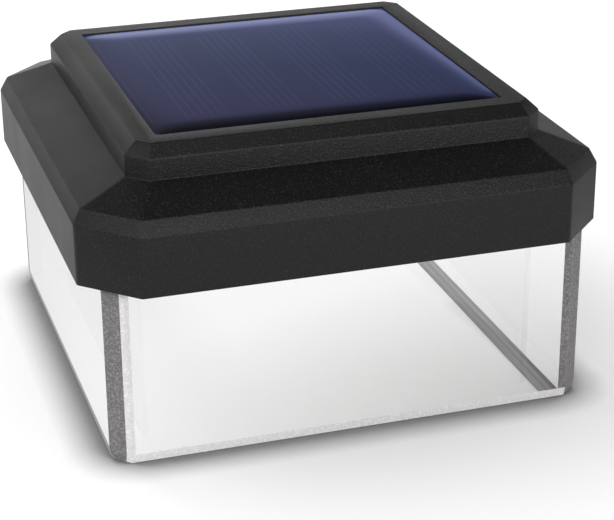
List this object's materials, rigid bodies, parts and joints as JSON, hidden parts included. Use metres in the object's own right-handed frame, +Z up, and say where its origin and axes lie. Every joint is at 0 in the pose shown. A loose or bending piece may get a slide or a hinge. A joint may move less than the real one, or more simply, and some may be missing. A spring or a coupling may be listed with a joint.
{
  "type": "solar post cap light",
  "caption": "Low square solar post cap light: black faceted cap with a panel on top over a thick clear skirt that slides onto a square deck post.",
  "frame": {"origin": "middle of the clear skirt's bottom face, where the light rests when it stands on a table", "axes": "+Z up along the post's axis, +X to the right and -Y to the front as the picture shows it; the battery bay is behind the middle and the switch in front of it"},
  "size_m": [0.12, 0.12, 0.0693],
  "materials": {
    "black_abs": "fine moulded texture",
    "foam": "matt foam",
    "panel_board": "dark solder mask",
    "silicon": "blue, finely lined",
    "resin": "clear, glossy",
    "acrylic": "clear and polished, frosted on facets and foot bevel",
    "white_abs": "satin",
    "screw_steel": "zinc plated",
    "tinned": "tinned",
    "battery": "printed sleeve, plain",
    "board_green": "solder mask",
    "board_white": "white solder mask",
    "chip_black": "moulded epoxy",
    "choke_green": "dipped resin",
    "can_blue": "sleeved can",
    "led": "phosphor window",
    "wire_red": "insulation",
    "wire_black": "insulation"
  },
  "bodies": {
    "housing": {"cap_shell": "black_abs", "panel_tape": "foam", "panel_board": "panel_board", "solar_cell_1": "silicon", "solar_cell_2": "silicon", "solar_cell_3": "silicon", "solar_cell_4": "silicon", "cell_ribbons": "tinned", "panel_resin": "resin", "clear_skirt": "acrylic", "skirt_gasket": "foam", "base_tray": "white_abs", "cap_screws": "screw_steel", "battery": "battery", "contact_spring": "tinned", "contact_plate": "tinned", "main_board": "board_green", "board_screws": "screw_steel", "driver_chip": "chip_black", "inductor": "choke_green", "capacitor": "can_blue", "switch_case": "tinned", "light_strip_front": "board_white", "light_strip_right": "board_white", "light_strip_back": "board_white", "light_strip_left": "board_white", "leds_front": "led", "leds_right": "led", "leds_back": "led", "leds_left": "led", "panel_wire_red": "wire_red", "panel_wire_black": "wire_black", "battery_wire_red": "wire_red", "battery_wire_black": "wire_black", "feed_wire_red": "wire_red", "feed_wire_black": "wire_black", "corner_wire_red_1": "wire_red", "corner_wire_red_2": "wire_red", "corner_wire_red_3": "wire_red", "corner_wire_black_1": "wire_black", "corner_wire_black_2": "wire_black", "corner_wire_black_3": "wire_black"},
    "battery_door": {"battery_door": "white_abs", "door_seal": "foam", "door_screws": "screw_steel"},
    "switch_slider": {"switch_slider": "black_abs"}
  },
  "joints": [
    {"name": "battery_door_lift", "type": "slide", "parent": "housing", "child": "battery_door", "axis": [0, 0, -1], "range_m": [0, 0.036]},
    {"name": "switch_slide", "type": "slide", "parent": "housing", "child": "switch_slider", "axis": [1, 0, 0], "range_m": [0, 0.002]}
  ]
}
